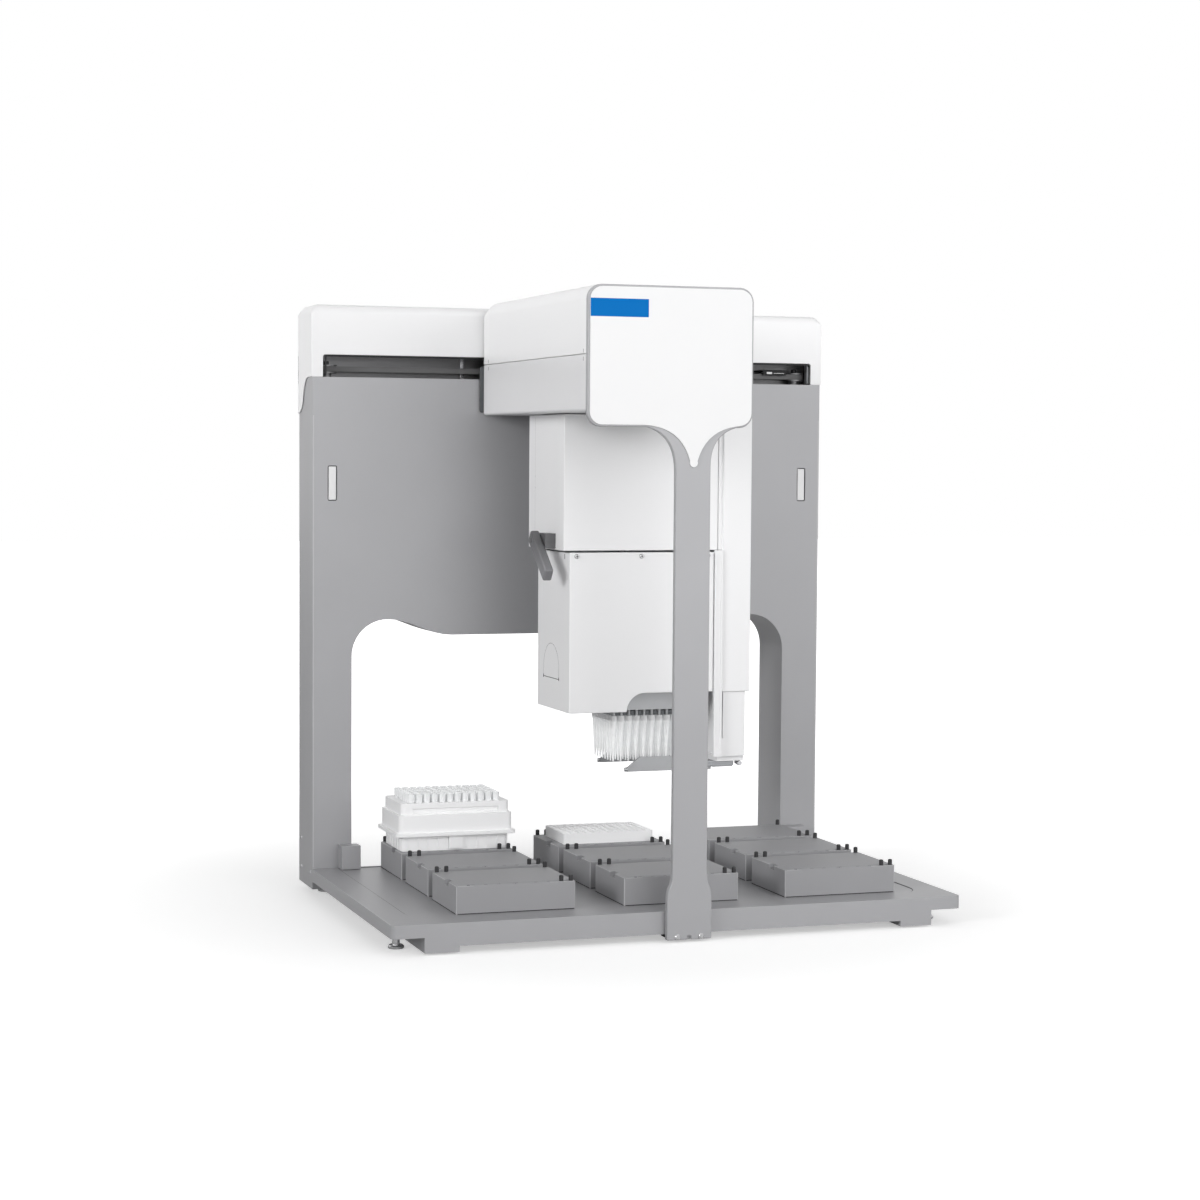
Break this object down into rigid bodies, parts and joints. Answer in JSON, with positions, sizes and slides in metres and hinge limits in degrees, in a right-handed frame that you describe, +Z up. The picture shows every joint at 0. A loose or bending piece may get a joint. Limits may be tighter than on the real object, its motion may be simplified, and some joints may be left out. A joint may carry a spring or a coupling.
{
  "type": "liquid handling robot",
  "caption": "Bench liquid handling robot: plate nests on a deck, a moving gantry arm with a front column, a multichannel pipetting head and a plate gripper.",
  "frame": {"origin": "on the bench under the middle of the machine's bounding box", "axes": "+X to the operator's right, +Y to the rear, +Z up"},
  "size_m": [0.635, 0.4564, 0.6806],
  "materials": {
    "grey_paint": "satin grey powder coat",
    "nest_grey": "darker satin grey coat",
    "white_paint": "smooth satin white coat on sheet",
    "white_plastic": "smooth moulded white",
    "face_white": "flat satin white plate",
    "accent_blue": "flat blue film",
    "bare_alloy": "machined and anodised",
    "dark_alloy": "dark anodised",
    "rail_steel": "ground steel",
    "black_plastic": "matt black",
    "lever_grey": "dark grey moulding",
    "belt_rubber": "black toothed belt",
    "foot_steel": "turned steel",
    "clear_plastic": "translucent moulding"
  },
  "bodies": {
    "base": {"deck_tray": "grey_paint", "deck_plate": "grey_paint", "deck_frame": "grey_paint", "leveling_feet": "foot_steel", "nest_1": "nest_grey", "nest_2": "nest_grey", "nest_3": "nest_grey", "nest_4": "nest_grey", "nest_5": "nest_grey", "nest_6": "nest_grey", "nest_7": "nest_grey", "nest_8": "nest_grey", "nest_9": "nest_grey", "nest_pins": "black_plastic", "back_frame": "grey_paint", "rear_panel": "grey_paint", "rear_connectors": "black_plastic", "top_cover": "white_paint", "x_beam": "bare_alloy", "x_rails": "rail_steel", "x_motor": "black_plastic", "x_belt": "belt_rubber"},
    "rocker": {"power_switch": "black_plastic"},
    "drive_pulley": {"x_drive_pulley": "bare_alloy"},
    "idler_pulley": {"x_idler_pulley": "bare_alloy"},
    "gantry": {"x_carriage": "dark_alloy", "arm_beam": "bare_alloy", "arm_upper_cover": "white_paint", "arm_lower_cover": "white_paint", "front_column": "grey_paint", "face_plate": "face_white", "accent_strip": "accent_blue", "foot_shoe": "black_plastic", "foot_bolts": "foot_steel", "y_rails": "rail_steel", "y_motor": "black_plastic"},
    "y_leadscrew": {"y_screw": "rail_steel"},
    "head": {"y_carriage": "bare_alloy", "upper_housing": "white_paint", "head_chassis": "bare_alloy", "z_rails": "rail_steel", "z_motor": "black_plastic", "lever_base": "lever_grey", "gripper_tower": "white_paint"},
    "z_leadscrew": {"z_screw": "rail_steel"},
    "lever": {"lock_lever": "lever_grey"},
    "pipette_head": {"z_carriage": "bare_alloy", "head_cover": "white_paint", "cover_screws": "foot_steel", "barrel_block": "bare_alloy", "plunger_motor": "black_plastic"},
    "stripper": {"stripper_plate": "dark_alloy"},
    "tips": {"pipette_tips": "clear_plastic"},
    "plunger": {"plunger_plate": "bare_alloy"},
    "gripper": {"gripper_slide": "white_plastic"},
    "front_jaw": {"front_blade": "bare_alloy"},
    "back_jaw": {"back_blade": "bare_alloy"},
    "tip_rack": {"tip_box": "white_plastic", "rack_tips": "clear_plastic"},
    "plate": {"microplate": "white_plastic"}
  },
  "joints": [
    {"name": "gantry_x", "type": "slide", "parent": "base", "child": "gantry", "axis": [1, 0, 0], "range_m": [-0.2074, 0.16]},
    {"name": "drive_pulley_spin", "type": "hinge", "parent": "base", "child": "drive_pulley", "pos_m": [-0.2938, 0.186, 0.60305], "axis": [0, 0, 1], "continuous": true},
    {"name": "idler_pulley_spin", "type": "hinge", "parent": "base", "child": "idler_pulley", "pos_m": [0.2862, 0.186, 0.60305], "axis": [0, 0, 1], "continuous": true},
    {"name": "head_y", "type": "slide", "parent": "gantry", "child": "head", "axis": [0, 1, 0], "range_m": [-0.1378, 0.0898]},
    {"name": "y_screw_spin", "type": "hinge", "parent": "gantry", "child": "y_leadscrew", "pos_m": [-0.0251, 0, 0.6], "axis": [0, 1, 0], "continuous": true},
    {"name": "head_z", "type": "slide", "parent": "head", "child": "pipette_head", "axis": [0, 0, 1], "range_m": [-0.092, 0]},
    {"name": "z_screw_spin", "type": "hinge", "parent": "head", "child": "z_leadscrew", "pos_m": [0.007, 0.016, 0.45], "axis": [0, 0, 1], "continuous": true},
    {"name": "lock_lever_swing", "type": "hinge", "parent": "head", "child": "lever", "pos_m": [-0.1, -0.017, 0.413], "axis": [1, 0, 0], "range_deg": [-95, 0]},
    {"name": "stripper_push", "type": "slide", "parent": "pipette_head", "child": "stripper", "axis": [0, 0, 1], "range_m": [-0.004, 0]},
    {"name": "tip_slide", "type": "slide", "parent": "pipette_head", "child": "tips", "axis": [0, 0, 1], "range_m": [-0.004, 0]},
    {"name": "plunger_push", "type": "slide", "parent": "pipette_head", "child": "plunger", "axis": [0, 0, 1], "range_m": [-0.028, 0]},
    {"name": "gripper_z", "type": "slide", "parent": "head", "child": "gripper", "axis": [0, 0, 1], "range_m": [-0.08, 0.045]},
    {"name": "jaw_close", "type": "slide", "parent": "gripper", "child": "front_jaw", "axis": [0, 1, 0], "range_m": [0, 0.0045]},
    {"name": "back_jaw_close", "type": "slide", "parent": "gripper", "child": "back_jaw", "axis": [0, 1, 0], "range_m": [-0.0045, 0]},
    {"name": "tip_box_lift", "type": "slide", "parent": "base", "child": "tip_rack", "axis": [0, 0, 1], "range_m": [0, 0.06]},
    {"name": "plate_lift", "type": "slide", "parent": "base", "child": "plate", "axis": [0, 0, 1], "range_m": [0, 0.06]},
    {"name": "power_rocker", "type": "hinge", "parent": "base", "child": "rocker", "pos_m": [0.2525, 0.2212, 0.372], "axis": [1, 0, 0], "range_deg": [-8, 8]}
  ],
  "couplings": [
    {"joint": "drive_pulley_spin", "follows": "gantry_x", "rad_per_m": 92.593},
    {"joint": "idler_pulley_spin", "follows": "gantry_x", "rad_per_m": 92.593},
    {"joint": "y_screw_spin", "follows": "head_y", "rad_per_m": 314.16},
    {"joint": "z_screw_spin", "follows": "head_z", "rad_per_m": 628.32},
    {"joint": "tip_slide", "follows": "stripper_push", "ratio": 1},
    {"joint": "back_jaw_close", "follows": "jaw_close", "ratio": -1}
  ]
}
